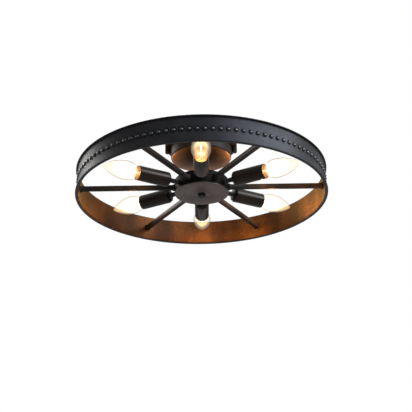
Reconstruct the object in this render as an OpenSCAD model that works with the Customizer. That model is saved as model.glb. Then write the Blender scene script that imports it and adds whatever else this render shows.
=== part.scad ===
// Six-light wheel ceiling light: a steel wheel on a short stem under a stepped canopy.
// Millimetres, +Z up. The origin is the centre of the bracket's top face, on the ceiling.

/* [Wheel band] */
// Diameter of the wheel over its rolled lips
wheel_d = 457.2; // [440:0.1:520]
// Height from the band's lower edge to the ceiling
fixture_h = 109.2; // [107:0.1:140]
// Height of the band
band_h = 48; // [44:0.5:60]
// Thickness of the band's sheet
band_t = 1.4; // [1.2:0.1:2]
// How far the rolled lips stand out from the band
lip_out = 3.6; // [2.5:0.1:5]
// Thickness of a rolled lip
lip_h = 2.4; // [1.6:0.1:3]
// Thickness of the copper-coloured liner strip
liner_t = 1; // [0.6:0.1:1.4]
// Black edge left above and below the liner strip
liner_edge = 1.5; // [1:0.5:4]
// Number of domed studs round the band
stud_n = 112; // [60:1:126]
// Diameter of a stud
stud_d = 8; // [6:0.1:9]
// Height of a stud's dome
stud_h = 2.6; // [1.5:0.1:3.4]

/* [Wheel spokes] */
// Number of lights, with as many spokes between them
light_n = 6; // [4:1:7]
// Turn of the first spoke from the X axis
wheel_turn = 0; // [-10:0.5:10]
// Width of a spoke bar
spoke_w = 8; // [6:0.5:12]
// Thickness of a spoke bar
spoke_t = 8; // [5:0.5:12]

/* [Hub] */
// Diameter of the hub drum
hub_d = 98.4; // [92:0.1:112]
// Height of the hub drum with its cover
hub_h = 27; // [26:0.5:36]
// Thickness of the hub's sheet
hub_t = 1.5; // [1:0.1:2]
// Rounding of the hub's edges
hub_round = 2; // [1:0.5:4]
// Thickness of the hub's bottom cover
cover_t = 2; // [1.5:0.1:3]
// Height of the cover's locating ring
cover_ring_h = 3; // [2:0.5:5]
// Diameter of the ball finial
finial_d = 14.4; // [12.8:0.1:20]
// Height of the finial's centre below the cover
finial_drop = 3.2; // [2.5:0.1:4]

/* [Socket cups] */
// Length of the threaded nipple showing between hub and cup
neck_l = 18.3; // [12:0.1:22]
// Diameter of a socket nipple
nipple_d = 9; // [8.5:0.1:10]
// Bore of a socket nipple
nipple_bore = 6.6; // [6:0.1:7]
// Diameter of a socket cup
cup_d = 27; // [25:0.5:32]
// Length of a socket cup
cup_l = 62.5; // [60:0.5:68]
// Thickness of a cup's sheet
cup_t = 1.2; // [0.8:0.1:1.6]
// Rounding of a cup's closed end
cup_round = 5; // [3:0.5:7]
// Diameter of a lampholder body
holder_d = 21; // [19:0.5:22]
// Depth of the lampholder's mouth inside the cup
holder_set_in = 9; // [6:0.5:12]

/* [Bulbs] */
// Diameter of a candle bulb
bulb_d = 34; // [30:0.5:36]
// Length of a bulb's glass beyond its cap
glass_l = 76; // [70:0.5:83]
// Distance from the cap to the widest part of the glass
bulge_l = 31; // [26:0.5:40]
// Thickness of the bulb's glass
glass_t = 0.8; // [0.6:0.1:1.2]
// Diameter of a bulb's screw cap
cap_d = 11.9; // [11.5:0.1:12.2]
// Length of a bulb's screw cap
cap_l = 16; // [14:0.5:17]

/* [Canopy] */
// Diameter of the canopy's flange
pan_d = 134; // [133:0.5:150]
// Depth of the canopy's flange
pan_h = 4; // [3.5:0.5:8]
// Diameter of the canopy's drum
drum_d = 112; // [100:0.5:114]
// Depth of the canopy to the edge of its underside
canopy_h = 28.5; // [24:0.5:34]
// Rounding between the drum's side and its underside
bowl_round = 4; // [3:0.5:8]
// How far the middle of the underside bulges below its edge
dome_h = 8; // [4:0.5:10]
// Thickness of the canopy's sheet
canopy_t = 1.2; // [0.8:0.1:1.6]
// Rounding of the flange's edge
canopy_round = 1.5; // [1:0.1:3]
// Rounding of the corner between the flange and the drum
step_round = 0.8; // [0.5:0.1:1.2]

/* [Stem] */
// Diameter of the stem sleeve
sleeve_d = 20; // [16:0.5:24]
// Thickness of the stem sleeve's wall
sleeve_t = 1.5; // [1:0.1:2]
// Diameter of the threaded pipe through the middle
pipe_d = 9.8; // [9.4:0.1:10.2]
// Bore of the threaded pipe
pipe_bore = 7.4; // [7:0.1:7.6]

/* [Ceiling bracket] */
// Width of the bracket bar
bar_w = 22; // [18:0.5:30]
// Thickness of the bracket bar
bar_t = 2; // [1.5:0.1:3]
// Distance between the middles of the two ceiling slots
slot_pitch = 79.4; // [70:0.1:84]
// Width of a ceiling slot
slot_w = 4.5; // [4:0.1:6]
// Length of a ceiling slot from end to end
slot_l = 14; // [10:0.5:18]
// Diameter of the canopy studs
screw_d = 4; // [3:0.5:5]
// Diameter of a canopy nut
cap_nut_d = 10; // [8:0.5:11]
// Height of a canopy nut
cap_nut_h = 11; // [8:0.5:14]

/* [Nuts and wires] */
// Width across the flats of the lock nuts
nut_af = 14; // [13:0.5:16]
// Thickness of the lock nuts
nut_h = 3.5; // [2.5:0.5:4.5]
// Diameter of the washers
washer_d = 18; // [16:0.5:22]
// Thickness of the washers
washer_t = 1.2; // [0.8:0.1:1.6]
// Diameter of a wire over its insulation
wire_d = 2.2; // [1.8:0.1:2.4]
// Diameter of the wire ring round the pipe inside the hub
ring_d = 30; // [26:0.5:36]
// Diameter of a wire cap
wire_cap_d = 9; // [8:0.5:10]
// Length of a wire cap
wire_cap_l = 18; // [14:0.5:22]

/* [Hidden] */
$fn = 96;
wheel_fn = 240;
arc_n = 8;
thread_n = 5;
wire_sides = 8;
ring_n = 36;
seat_gap = 0.3;
slide_gap = 0.05;
cap_nut_round = 2;
cap_nut_wall = 2.5;
stud_short = 0.5;
wheel_r = wheel_d / 2;
band_r = wheel_r - lip_out;
band_in_r = band_r - band_t;
liner_r = band_in_r - liner_t;
wheel_z = band_h / 2 - fixture_h;
stud_ball_r = (pow(stud_d / 2, 2) + pow(stud_h, 2)) / (2 * stud_h);
light_step = 360 / light_n;
hub_r = hub_d / 2;
hub_in_r = hub_r - hub_t;
hub_top = wheel_z + hub_h / 2;
hub_foot = wheel_z - hub_h / 2;
ceiling_in = hub_top - hub_t;
cover_top = hub_foot + cover_t;
finial_r = finial_d / 2;
finial_z = hub_foot - finial_drop;
nipple_r = nipple_d / 2;
nipple_grip = 8;
cup_r = cup_d / 2;
cup_start = hub_r + neck_l;
cup_end = cup_start + cup_l;
seat_x = cup_start + cup_t;
nipple_past = 2;
nipple_in = hub_in_r - nut_h - nipple_past;
nipple_out = seat_x + nipple_grip;
holder_r = holder_d / 2;
holder_end = cup_end - holder_set_in;
holder_wall = 3.5;
shell_t = 0.4;
shell_in_r = cap_d / 2 + seat_gap;
shell_r = shell_in_r + shell_t;
cap_proud = 0.5;
cap_end = holder_end + cap_proud;
cap_start = cap_end - cap_l;
tip_l = 2;
tip_r = 2.6;
contact_t = 1.6;
cavity_x = cap_start - tip_l - seat_gap - contact_t;
glass_in_cap = 4;
cap_t = 0.4;
thread_depth = 0.35;
bead_r = 2.2;
support_d = 0.8;
support_foot_r = 1.2;
support_in_stem = 3;
filament_rise = 5;
flare_t = 1;
bead_t = 1;
neck_r = cap_d / 2 + cap_t;
candle_power = 0.75;
stem_r = cap_d / 2 - cap_t - glass_t;
drum_r = drum_d / 2;
nut_clear = 0.2;
bar_room = 0.5;
bar_end = 0.8;
least_round = 0.2;
step_r = drum_r + step_round + nut_clear + cap_nut_d / 2;
bar_least = step_r + screw_d / 2 + bar_end;
pan_r = max(pan_d / 2, bar_least + bar_room + canopy_t);
pan_low = max(pan_h, bar_t + seat_gap + canopy_t);
floor_flat_r = 14;
floor_low = canopy_h + dome_h;
floor_run = drum_r - bowl_round - floor_flat_r;
floor_in = canopy_t - floor_low;
pipe_r = pipe_d / 2;
pipe_past = 4;
pipe_in_finial = 5.5;
pipe_top = floor_in + washer_t + nut_h + pipe_past;
pipe_foot = hub_foot - pipe_in_finial;
bar_l = 2 * (pan_r - canopy_t - bar_room);
nut_r = nut_af / 2 / cos(30);
flat_turn = 30;
ground_x = 22;
ground_head_h = 2.8;
ground_head_d = 8;
ground_short = 0.2;
ring_above = 5;
ring_below = 6;
wire_turn = 1.5;
wire_clear = 0.2;
black_z = wheel_z + ring_above;
white_z = wheel_z - ring_below;
lead_offset = 1.45;
lead_out = cavity_x - holder_wall;
cap_seat_y = 24;
wire_cap_bore = 5;
wire_cap_taper = 1.5;
wire_cap_far = (cap_seat_y + wire_cap_l - floor_flat_r) / floor_run;
wire_cap_z = canopy_t - floor_drop(wire_cap_far) + wire_cap_d / 2 - wire_cap_taper + seat_gap;

// Points of an arc about (cx, cy), from angle a0 to angle a1
function arc(cx, cy, r, a0, a1) =
    [for (k = [0 : arc_n]) let (a = a0 + (a1 - a0) * k / arc_n) [cx + r * cos(a), cy + r * sin(a)]];

function reversed(list) = [for (k = [len(list) - 1 : -1 : 0]) list[k]];

// Outline of a candle-shaped glass from its cap to its tip: a sine swell, then a longer taper
function candle(r_neck, r_max, l) = concat(
    [for (k = [0 : 8]) [r_neck + (r_max - r_neck) * sin(90 * k / 8), cap_end + bulge_l * k / 8]],
    [for (k = [1 : 14]) let (u = sin(90 * k / 14)) [
        r_max * pow(cos(90 * u), candle_power),
        cap_end + bulge_l + (l - bulge_l) * u
    ]]
);

// Angle of the middle of a light about the wheel's axis
function light_turn(i) = wheel_turn + (i - 0.5) * light_step;

// Puts its children's Z axis along light i, outwards from the wheel's axis
module on_light(i) {
    rotate([0, 0, light_turn(i)]) translate([0, 0, wheel_z]) rotate([0, 90, 0]) children();
}

module tube(r, r_in, h) {
    difference() {
        cylinder(r = r, h = h);
        translate([0, 0, -1]) cylinder(r = r_in, h = h + 2);
    }
}

// A round wire swept through the points (x, z) of a route in the XZ plane
module wire(route, d) {
    last = len(route) - 1;
    dirs = [for (k = [1 : last]) (route[k] - route[k - 1]) / norm(route[k] - route[k - 1])];
    rings = [for (k = [0 : last])
        let (before = dirs[max(k - 1, 0)], after = dirs[min(k, last - 1)])
        let (middle = (before + after) / norm(before + after), r = d / 2 / (middle * after))
        for (j = [0 : wire_sides - 1])
            let (a = 360 * (j + 0.5) / wire_sides)
            [
                route[k].x - r * cos(a) * middle.y,
                d / 2 * sin(a),
                route[k].y + r * cos(a) * middle.x
            ]
    ];
    sides = [for (k = [0 : last - 1], j = [0 : wire_sides - 1])
        let (a = k * wire_sides + j, b = k * wire_sides + (j + 1) % wire_sides)
        [b, b + wire_sides, a + wire_sides, a]
    ];
    first_end = [for (j = [wire_sides - 1 : -1 : 0]) j];
    last_end = [for (j = [0 : wire_sides - 1]) last * wire_sides + j];
    polyhedron(points = rings, faces = concat([first_end, last_end], sides), convexity = 4);
}

// A closed ring of round wire about the Z axis
module wire_ring(r, d) {
    points = [for (k = [0 : ring_n - 1], j = [0 : wire_sides - 1])
        let (a = 360 * (j + 0.5) / wire_sides, q = r + d / 2 * cos(a), t = 360 * k / ring_n)
        [q * cos(t), q * sin(t), d / 2 * sin(a)]
    ];
    faces = [for (k = [0 : ring_n - 1], j = [0 : wire_sides - 1])
        let (j2 = (j + 1) % wire_sides, k2 = (k + 1) % ring_n)
        [k * wire_sides + j, k * wire_sides + j2, k2 * wire_sides + j2, k2 * wire_sides + j]
    ];
    polyhedron(points = points, faces = faces, convexity = 4);
}

module hex_nut(r_in) {
    difference() {
        cylinder(r = nut_r, h = nut_h, $fn = 6);
        translate([0, 0, -1]) cylinder(r = r_in, h = nut_h + 2);
    }
}

// Ceiling bracket

module ceiling_slot(x) {
    run = slot_l - slot_w;
    for (side = [-1, 1]) {
        translate([x + side * run / 2, 0, -bar_t - 1]) cylinder(d = slot_w, h = bar_t + 2);
    }
    translate([x - run / 2, -slot_w / 2, -bar_t - 1]) cube([run, slot_w, bar_t + 2]);
}

module bracket_bar() {
    color("#c9c6bd") difference() {
        intersection() {
            translate([-bar_l / 2, -bar_w / 2, -bar_t]) cube([bar_l, bar_w, bar_t]);
            translate([0, 0, -bar_t]) cylinder(d = bar_l, h = bar_t);
        }
        ceiling_slot(slot_pitch / 2);
        ceiling_slot(-slot_pitch / 2);
        translate([0, 0, -bar_t - 1]) cylinder(r = pipe_r, h = bar_t + 2);
        translate([ground_x, 0, -bar_t - 1]) cylinder(d = screw_d, h = bar_t + 2);
        for (side = [-1, 1]) {
            translate([side * step_r, 0, -bar_t - 1]) cylinder(d = screw_d, h = bar_t + 2);
        }
    }
}

module canopy_studs() {
    stud_l = pan_low + cap_nut_h - cap_nut_wall - stud_short;
    color("#b9b6ae") for (side = [-1, 1]) {
        translate([side * step_r, 0, -stud_l]) cylinder(d = screw_d, h = stud_l);
    }
}

module canopy_nuts() {
    r = cap_nut_d / 2;
    flat_r = r - cap_nut_round;
    hole_h = cap_nut_h - cap_nut_wall;
    outline = concat(
        [[0, -cap_nut_h]],
        arc(flat_r, cap_nut_round - cap_nut_h, cap_nut_round, -90, 0),
        [[r, 0], [0, 0]]
    );
    color("#1b1a1c") for (side = [-1, 1]) {
        translate([side * step_r, 0, -pan_low]) difference() {
            rotate_extrude() polygon(outline);
            translate([0, 0, -hole_h]) cylinder(d = screw_d, h = hole_h + 1);
        }
    }
}

module ground_screw() {
    color("#2f7d46") translate([ground_x, 0, -bar_t - ground_head_h]) {
        rotate([0, 0, flat_turn]) cylinder(d = ground_head_d, h = ground_head_h, $fn = 6);
        cylinder(d = screw_d, h = ground_head_h + bar_t - ground_short);
    }
}

// Canopy and stem

// The canopy's outside for t = 0, and its inside for t = canopy_t, from the ceiling to the pipe
function canopy_outline(t) =
    let (r = max(canopy_round - t, least_round), flat_z = t - floor_low)
    concat(
        [[pan_r - t, 0]],
        arc(pan_r - t - r, t + r - pan_low, r, 0, -90),
        arc(drum_r + step_round, -step_round - pan_low, step_round + t, 90, 180),
        arc(drum_r - bowl_round, bowl_round - canopy_h, bowl_round - t, 0, -65),
        [for (k = [7 : -1 : 1]) [floor_flat_r + floor_run * k / 8, t - floor_drop(k / 8)]],
        [[floor_flat_r, flat_z], [pipe_r, flat_z]]
    );

// How far the canopy's underside lies below the ceiling, from s = 0 at its flat to 1 at its edge
function floor_drop(s) = canopy_h + dome_h * (1 - s * s);

module canopy() {
    color("#1b1a1c") difference() {
        rotate_extrude($fn = wheel_fn)
            polygon(concat(canopy_outline(0), reversed(canopy_outline(canopy_t))));
        for (side = [-1, 1]) {
            translate([side * step_r, 0, -pan_low - 1]) cylinder(d = screw_d, h = pan_low);
        }
    }
}

module stem_sleeve() {
    r = sleeve_d / 2;
    color("#1b1a1c") translate([0, 0, hub_top]) tube(r, r - sleeve_t, -floor_low - hub_top);
}

module threaded_pipe() {
    window_h = black_z - white_z + 2 * wire_d;
    color("#c2a15a") difference() {
        translate([0, 0, pipe_foot]) tube(pipe_r, pipe_bore / 2, pipe_top - pipe_foot);
        translate([-wire_d, -pipe_d, (black_z + white_z - window_h) / 2])
            cube([2 * wire_d, 2 * pipe_d, window_h]);
    }
}

module pipe_nuts() {
    color("#c2a15a") {
        translate([0, 0, floor_in + washer_t]) rotate([0, 0, flat_turn]) hex_nut(pipe_r);
        translate([0, 0, ceiling_in - washer_t - nut_h]) hex_nut(pipe_r);
    }
}

module pipe_washers() {
    color("#b9b6ae") {
        translate([0, 0, floor_in]) tube(washer_d / 2, pipe_r, washer_t);
        translate([0, 0, ceiling_in - washer_t]) tube(washer_d / 2, pipe_r, washer_t);
    }
}

// Hub

module hub_drum() {
    wall_foot = cover_top;
    outline = concat(
        [[pipe_r, hub_top]],
        arc(hub_r - hub_round, hub_top - hub_round, hub_round, 90, 0),
        [[hub_r, wall_foot], [hub_in_r, wall_foot]],
        arc(hub_r - hub_round, hub_top - hub_round, hub_round - hub_t, 0, 90),
        [[pipe_r, ceiling_in]]
    );
    color("#1b1a1c") difference() {
        rotate_extrude($fn = wheel_fn) polygon(outline);
        for (i = [1 : light_n]) {
            on_light(i) cylinder(r = nipple_r, h = hub_r + 1);
        }
    }
}

module hub_cover() {
    round = cover_t / 2;
    ring_r = hub_in_r - seat_gap;
    outline = concat(
        [[pipe_r + slide_gap, hub_foot]],
        arc(hub_r - round, hub_foot + round, round, -90, 0),
        [[hub_r, cover_top], [ring_r, cover_top], [ring_r, cover_top + cover_ring_h]],
        [[ring_r - hub_t, cover_top + cover_ring_h], [ring_r - hub_t, cover_top]],
        [[pipe_r + slide_gap, cover_top]]
    );
    color("#37322f") rotate_extrude($fn = wheel_fn) polygon(outline);
}

module finial() {
    color("#1b1a1c") difference() {
        translate([0, 0, finial_z]) sphere(r = finial_r);
        translate([0, 0, hub_foot]) cylinder(r = finial_d, h = finial_d);
        translate([0, 0, pipe_foot - seat_gap]) cylinder(r = pipe_r + slide_gap, h = finial_d);
    }
}

// Wheel

module rolled_lip(z) {
    translate([band_r, z - lip_h / 2]) square([lip_out - lip_h / 2, lip_h]);
    translate([wheel_r - lip_h / 2, z]) circle(d = lip_h);
}

module rim_band() {
    lip_z = (band_h - lip_h) / 2;
    color("#201f22") translate([0, 0, wheel_z]) rotate_extrude($fn = wheel_fn) {
        translate([band_in_r, -band_h / 2]) square([band_t, band_h]);
        rolled_lip(lip_z);
        rolled_lip(-lip_z);
    }
}

module rim_liner() {
    h = band_h - 2 * liner_edge;
    color("#7a4a25") translate([0, 0, wheel_z - h / 2]) rotate_extrude($fn = wheel_fn) {
        translate([liner_r, 0]) square([liner_t, h]);
    }
}

module rim_studs() {
    color("#201f22") translate([0, 0, wheel_z]) difference() {
        for (k = [0 : stud_n - 1]) {
            rotate([0, 0, (k + 0.5) * 360 / stud_n])
                translate([band_r + stud_h - stud_ball_r, 0, 0]) sphere(r = stud_ball_r, $fn = 24);
        }
        translate([0, 0, -stud_d]) cylinder(r = band_r, h = 2 * stud_d, $fn = wheel_fn);
    }
}

module spoke(i) {
    color("#231f1e") rotate([0, 0, wheel_turn + (i - 1) * light_step]) translate([0, 0, wheel_z]) {
        intersection() {
            difference() {
                translate([0, -spoke_w / 2, -spoke_t / 2]) cube([wheel_r, spoke_w, spoke_t]);
                translate([0, 0, -spoke_t]) cylinder(r = hub_r, h = 2 * spoke_t, $fn = wheel_fn);
            }
            translate([0, 0, -spoke_t]) cylinder(r = liner_r, h = 2 * spoke_t, $fn = wheel_fn);
        }
    }
}

// Lights

module socket_nipples() {
    color("#1b1a1c") for (i = [1 : light_n]) {
        on_light(i) translate([0, 0, nipple_in]) tube(nipple_r, nipple_bore / 2, nipple_out - nipple_in);
    }
}

// The nut's corners bear on the round wall, so its face lies a little inside it
module nipple_nuts() {
    face_x = sqrt(pow(hub_in_r, 2) - pow(nut_r, 2));
    color("#c2a15a") for (i = [1 : light_n]) {
        on_light(i) translate([0, 0, face_x - nut_h]) hex_nut(nipple_r);
    }
}

module socket_cup(i) {
    outline = concat(
        [[nipple_r, cup_start]],
        arc(cup_r - cup_round, cup_start + cup_round, cup_round, -90, 0),
        [[cup_r, cup_end], [cup_r - cup_t, cup_end]],
        arc(cup_r - cup_round, cup_start + cup_round, cup_round - cup_t, 0, -90),
        [[nipple_r, seat_x]]
    );
    color("#1d1a19") on_light(i) rotate_extrude() polygon(outline);
}

module lampholder(i) {
    rear_r = cup_r - cup_round;
    outline = [
        [nipple_r, seat_x],
        [rear_r, seat_x],
        [holder_r, seat_x + holder_r - rear_r + seat_gap],
        [holder_r, holder_end],
        [shell_r, holder_end],
        [shell_r, cavity_x],
        [0, cavity_x],
        [0, cavity_x - holder_wall],
        [nipple_bore / 2, cavity_x - holder_wall],
        [nipple_bore / 2, nipple_out],
        [nipple_r, nipple_out]
    ];
    color("#d8d2c4") on_light(i) rotate_extrude() polygon(outline);
}

module lamp_shells() {
    color("#c2a15a") for (i = [1 : light_n]) {
        on_light(i) translate([0, 0, cavity_x]) tube(shell_r, shell_in_r, holder_end - cavity_x - seat_gap);
    }
}

module lamp_contacts() {
    color("#c2a15a") for (i = [1 : light_n]) {
        on_light(i) translate([0, 0, cavity_x]) cylinder(r = tip_r, h = contact_t);
    }
}

// Closed at the tip and open at the cap, where the glass is cemented in
module bulb_glass(i) {
    inside = candle(stem_r, bulb_d / 2 - glass_t, glass_l - 2 * glass_t);
    outline = concat(
        [[stem_r, cap_end - glass_in_cap], [stem_r + glass_t, cap_end - glass_in_cap]],
        [[stem_r + glass_t, cap_end]],
        candle(neck_r, bulb_d / 2, glass_l),
        reversed(inside)
    );
    color("#f3efe6", 0.35) on_light(i) rotate_extrude() polygon(outline);
}

// A screw cap with rounded ridges, a glass bead and the contact at its end
module bulb_cap(i) {
    pitch = cap_l / (thread_n + 1);
    ridges = [for (k = [0 : 8 * thread_n]) [
        cap_d / 2 - thread_depth * (1 + cos(360 * k / 8)) / 2,
        cap_start + pitch * (0.5 + k / 8)
    ]];
    in_r = cap_d / 2 - cap_t - thread_depth;
    outline = concat(
        [[0, cap_start - tip_l], [tip_r, cap_start - tip_l], [tip_r, cap_start - bead_t], [in_r, cap_start]],
        ridges,
        [[cap_d / 2, cap_end], [cap_d / 2 - cap_t, cap_end]],
        [[cap_d / 2 - cap_t, cap_end - glass_in_cap], [in_r - cap_t, cap_end - glass_in_cap]],
        [[in_r - cap_t, cap_start + bead_t], [0, cap_start + bead_t]]
    );
    color("#c8a860") on_light(i) rotate_extrude() polygon(outline);
}

// The glass stem on its flare, two support wires and the filament across them
module bulb_filament(i) {
    flare_x = cap_end - glass_in_cap;
    pinch_x = cap_end + 0.25 * glass_l;
    foot_x = pinch_x - support_in_stem;
    top_x = cap_end + 0.48 * glass_l;
    spread = 0.15 * bulb_d;
    color("#ffd9a0") on_light(i) {
        translate([0, 0, flare_x]) cylinder(r = stem_r, h = flare_t);
        translate([0, 0, flare_x]) cylinder(r = bead_r, h = pinch_x - flare_x);
        wire([
            [-support_foot_r, foot_x],
            [-spread, top_x],
            [0, top_x + filament_rise],
            [spread, top_x],
            [support_foot_r, foot_x]
        ], support_d);
    }
}

// Wiring held inside

// One conductor of every light, soldered to a ring round the pipe at the height z, and the
// ring's feed through the pipe's window, up the bore and over to a wire cap
module leads(z, side) {
    ring_r = ring_d / 2;
    feed_y = side * (pipe_bore / 2 - wire_d / 2 - wire_clear);
    seat_y = cap_seat_y + wire_cap_bore - wire_clear;
    lead_z = wheel_z + side * lead_offset;
    translate([0, 0, z]) wire_ring(ring_r, wire_d);
    for (i = [1 : light_n]) {
        rotate([0, 0, light_turn(i)]) wire([
            [lead_out, lead_z],
            [nipple_in - 2, lead_z],
            [nipple_in - 6, (2 * lead_z + z) / 3],
            [ring_r + 6, (lead_z + 4 * z) / 5],
            [ring_r, z]
        ], wire_d);
    }
    rotate([0, 0, 90]) wire([
        [side * ring_r, z],
        [feed_y + side * wire_turn, z],
        [feed_y, z + wire_turn],
        [feed_y, pipe_top],
        [feed_y + side * 2, pipe_top + 3],
        [side * 9, pipe_top + 4],
        [side * (cap_seat_y - 6), wire_cap_z + 1],
        [side * (cap_seat_y - 2), wire_cap_z],
        [side * seat_y, wire_cap_z]
    ], wire_d);
}

module black_leads() {
    color("#141414") leads(black_z, 1);
}

module white_leads() {
    color("#e6e4dc") leads(white_z, -1);
}

module wire_caps() {
    r = wire_cap_d / 2;
    color("#c8641e") for (side = [-1, 1]) {
        translate([0, side * cap_seat_y, wire_cap_z]) rotate([-side * 90, 0, 0]) difference() {
            cylinder(r1 = r, r2 = r - wire_cap_taper, h = wire_cap_l);
            translate([0, 0, -1]) cylinder(d = wire_d, h = wire_cap_bore + 1);
        }
    }
}

// From the flat of the ground screw's head to the flat of the nut on the canopy's floor
module ground_lead() {
    head_x = ground_x - ground_head_d / 2 * cos(30);
    head_z = -bar_t - seat_gap - wire_d / 2;
    nut_z = floor_in + washer_t + nut_h / 2;
    color("#3f9a55") wire([
        [head_x, head_z],
        [head_x - 3, head_z],
        [head_x - 5, head_z - 2],
        [head_x - 5, nut_z + 6],
        [nut_af / 2 + 3, nut_z],
        [nut_af / 2, nut_z]
    ], wire_d);
}

bracket_bar();
canopy_studs();
canopy_nuts();
ground_screw();
canopy();
stem_sleeve();
threaded_pipe();
pipe_nuts();
pipe_washers();
hub_drum();
hub_cover();
finial();
rim_band();
rim_liner();
rim_studs();
socket_nipples();
nipple_nuts();
lamp_contacts();
lamp_shells();
black_leads();
white_leads();
ground_lead();
wire_caps();
for (i = [1 : light_n]) {
    spoke(i);
    socket_cup(i);
    lampholder(i);
    bulb_glass(i);
    bulb_cap(i);
    bulb_filament(i);
}
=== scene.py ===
# Wheel ceiling light: a studded black steel wheel lined with copper, six candle bulbs on a drum
# hub, and a round stepped canopy. Metres, +Z up, with the origin on the ceiling.
import math

import bpy
from mathutils import Matrix, Vector


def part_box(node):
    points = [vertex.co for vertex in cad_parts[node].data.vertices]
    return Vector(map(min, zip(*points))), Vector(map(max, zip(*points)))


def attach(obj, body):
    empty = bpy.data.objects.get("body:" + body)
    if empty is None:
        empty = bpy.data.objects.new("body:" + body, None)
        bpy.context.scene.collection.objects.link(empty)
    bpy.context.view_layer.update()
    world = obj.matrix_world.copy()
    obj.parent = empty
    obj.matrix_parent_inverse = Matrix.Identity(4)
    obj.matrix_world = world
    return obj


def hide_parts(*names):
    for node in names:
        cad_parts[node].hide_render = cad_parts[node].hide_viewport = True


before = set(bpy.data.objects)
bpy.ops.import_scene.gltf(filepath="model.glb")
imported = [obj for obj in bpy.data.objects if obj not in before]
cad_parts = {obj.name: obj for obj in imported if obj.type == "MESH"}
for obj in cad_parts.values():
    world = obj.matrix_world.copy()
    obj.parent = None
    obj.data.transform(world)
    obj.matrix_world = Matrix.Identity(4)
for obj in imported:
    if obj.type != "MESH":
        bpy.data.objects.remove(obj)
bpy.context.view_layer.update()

mm = 0.001

# Sizes read from the frame
band_low, band_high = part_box("rim_band")
liner_low, liner_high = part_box("rim_liner")
hub_low, hub_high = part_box("hub_drum")
cover_low, cover_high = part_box("hub_cover")
canopy_low, canopy_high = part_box("canopy")
sleeve_low, sleeve_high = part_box("stem_sleeve")
finial_low, finial_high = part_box("finial")
wheel_z = (band_low.z + band_high.z) / 2
wheel_r = min(band_high.x, band_high.y)
band_half = (band_high.z - band_low.z) / 2
liner_half = (liner_high.z - liner_low.z) / 2
hub_r = min(hub_high.x, hub_high.y)
cover_r = min(cover_high.x, cover_high.y)
finial_r = min(finial_high.x, finial_high.y)
pan_r = min(canopy_high.x, canopy_high.y)
sleeve_r = sleeve_high.x

# Sizes of the wheel
light_n = 6
light_step = math.tau / light_n
lip_out = 3.6 * mm
lip_h = 2.4 * mm
band_t = 1.4 * mm
band_corner = 0.5 * mm
liner_t = 1 * mm
liner_edge = 0.3 * mm
band_r = wheel_r - lip_out
liner_r = band_r - band_t - liner_t
stud_n = 112
stud_r = 4 * mm
stud_h = 2.6 * mm
stud_sink = 0.6 * mm
spoke_w = 8 * mm
spoke_t = 8 * mm
spoke_edge = 0.6 * mm
spoke_start = hub_r - 0.3 * mm
spoke_end = liner_r + 0.2 * mm
weld_l = 5.2 * mm
weld_swell = 1.7 * mm
weld_curve = 0.7
weld_cuts = (1.2 * mm, 2.4 * mm, 3.8 * mm, weld_l)
lump_share = 0.25
lump_y = 2100
lump_z = 1700

# Sizes of the hub and the stem
hub_t = 1.5 * mm
hub_round = 2 * mm
hub_flat_r = hub_r - 14 * mm
hub_foot = hub_low.z + 0.2 * mm
hub_wall_top = hub_high.z - 4 * mm
cover_top = hub_low.z - 0.1 * mm
cover_round = 1 * mm
groove_r = 16 * mm
groove_w = 0.8 * mm
groove_deep = 0.25 * mm
collar_r = 6.6 * mm
collar_h = 1.2 * mm
collar_slope_w = 0.3 * mm
collar_rim_h = 0.2 * mm
sleeve_t = 1.5 * mm
sleeve_edge = 0.4 * mm

# Sizes of the canopy
canopy_t = 1.2 * mm
canopy_h = 28.5 * mm
canopy_gloss_z = 1 * mm - canopy_h
pan_h = 4 * mm
pan_round = 1.5 * mm
drum_r = 56 * mm
step_round = 0.8 * mm
bowl_round = 4 * mm
bowl_end_degrees = -65
floor_steps = 12
flat_r = 14 * mm
pipe_hole_r = 5 * mm
nut_r = 5 * mm
nut_h = 11 * mm
nut_round = 2 * mm
nut_gap = 0.2 * mm
nut_x = drum_r + step_round + nut_gap + nut_r
nut_ridge_n = 9
nut_ridge_step = 0.7 * mm
nut_ridge_start = -7.6 * mm
nut_groove = 0.25 * mm
nut_plain_h = 0.9 * mm

# Sizes of a light. Its places are along its own axis, from the wheel's middle
cup_r = 13.5 * mm
cup_t = 1.2 * mm
cup_round = 5 * mm
cup_lip = 0.5 * mm
cup_start = hub_r + 18.3 * mm
cup_end = cup_start + 62.5 * mm
cup_seat = cup_start + cup_t
cup_ring = cup_end - 16 * mm
inner_paint_r = cup_r - 0.9 * cup_t
inner_paint_start = cup_start + 8 * mm
inner_paint_end = cup_end - 0.8 * mm
nipple_r = 4.5 * mm
nipple_bore_r = 3.3 * mm
nipple_in = hub_r - 7 * mm
nipple_out = cup_seat + 8 * mm
thread_n = 22
thread_deep = 0.4 * mm
washer_r = 7.2 * mm
washer_in_r = nipple_r - 0.3 * mm
washer_t = 1.4 * mm
holder_r = 10.5 * mm
holder_rear_r = 8.3 * mm
holder_rear = cup_seat + 0.1 * mm
holder_shoulder = cup_seat + 3 * mm
holder_end = cup_end - 9 * mm
holder_edge = 0.6 * mm
shell_r = 6.65 * mm
shell_edge = 0.5 * mm
cap_end = holder_end + 0.5 * mm
cap_l = 16 * mm
cap_r = 5.95 * mm
cap_start = cap_end - cap_l
cap_t = 0.4 * mm
cap_floor = cap_start + 1 * mm
cap_floor_r = cap_r - 0.9 * mm
cap_shoulder_r = cap_r - 0.75 * mm
cap_ridge_n = 5
cap_ridge_deep = 0.35 * mm
cap_ridge_points = 8
contact_r = 2.6 * mm
contact_tip_r = 1.8 * mm
contact_tip = cap_start - 2 * mm
contact_edge = contact_tip + 0.6 * mm
contact_end = cap_start - 1 * mm
holder_floor = cap_start - 4 * mm
glass_l = 76 * mm
bulge_l = 31 * mm
bulge_steps = 10
taper_steps = 18
taper_curve = 0.75
bulb_r = 17 * mm
glass_t = 0.8 * mm
glass_in_cap = 3.6 * mm
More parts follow.
